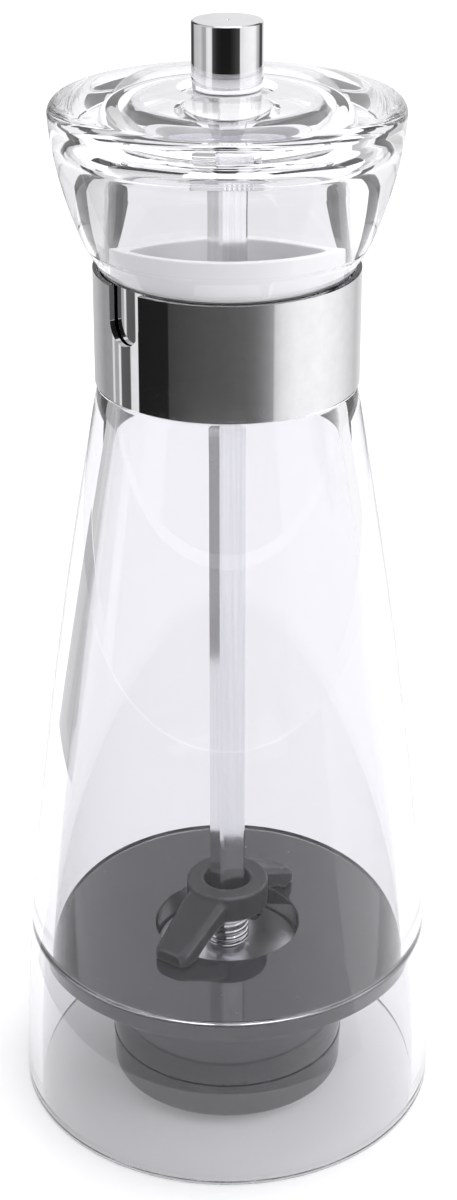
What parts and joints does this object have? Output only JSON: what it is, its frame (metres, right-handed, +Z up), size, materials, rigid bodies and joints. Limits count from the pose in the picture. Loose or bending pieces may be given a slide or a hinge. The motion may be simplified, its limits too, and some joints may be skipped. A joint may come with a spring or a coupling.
{
  "type": "pepper mill",
  "caption": "Clear pepper mill: flared body, turning domed head with an adjusting knob, chrome collar with a filling notch, and a burr grinder on a square shaft.",
  "frame": {"origin": "centre of the foot ring, on the resting surface", "axes": "+Z up along the shaft; -Y is the front, with the collar's notch to its left"},
  "size_m": [0.069, 0.069, 0.1799],
  "materials": {
    "clear_acrylic": "clear acrylic, polished",
    "chrome": "mirror chrome plate",
    "aluminium": "bright drawn",
    "steel": "polished",
    "burr_steel": "cut and hardened",
    "dark_plastic": "moulded, glossy",
    "grey_plastic": "moulded, fine matte",
    "white_nylon": "moulded nylon"
  },
  "bodies": {
    "mill_body": {"body": "clear_acrylic", "collar_inner_sleeve": "chrome", "head_guide_ring": "white_nylon", "grinder_housing": "dark_plastic", "lock_ring": "dark_plastic", "stator_burr": "burr_steel", "spring_washer": "steel", "spring": "steel", "bridge": "grey_plastic", "bridge_screw_front": "steel", "bridge_screw_rear": "steel"},
    "filling_sleeve": {"collar_outer_sleeve": "chrome"},
    "turning_head": {"head": "clear_acrylic", "drive_insert": "aluminium", "knob_washer": "white_nylon"},
    "adjusting_knob": {"knob": "chrome"},
    "drive_train": {"shaft": "aluminium", "feed_plate": "steel", "rotor_burr": "burr_steel", "rotor_washer": "steel", "rotor_screw": "steel"}
  },
  "joints": [
    {"name": "head_spin", "type": "hinge", "parent": "mill_body", "child": "turning_head", "pos_m": [0, 0, 0.144], "axis": [0, 0, 1], "continuous": true},
    {"name": "knob_turn", "type": "hinge", "parent": "turning_head", "child": "adjusting_knob", "pos_m": [0, 0, 0.1701], "axis": [0, 0, -1], "range_deg": [0, 720]},
    {"name": "shaft_lift", "type": "slide", "parent": "turning_head", "child": "drive_train", "axis": [0, 0, 1], "range_m": [0, 0.0014], "deforming": ["spring"]},
    {"name": "sleeve_turn", "type": "hinge", "parent": "mill_body", "child": "filling_sleeve", "pos_m": [0, 0, 0.1345], "axis": [0, 0, 1], "range_deg": [0, 139]}
  ],
  "couplings": [
    {"joint": "knob_turn", "follows": "shaft_lift", "rad_per_m": 8975.9}
  ]
}
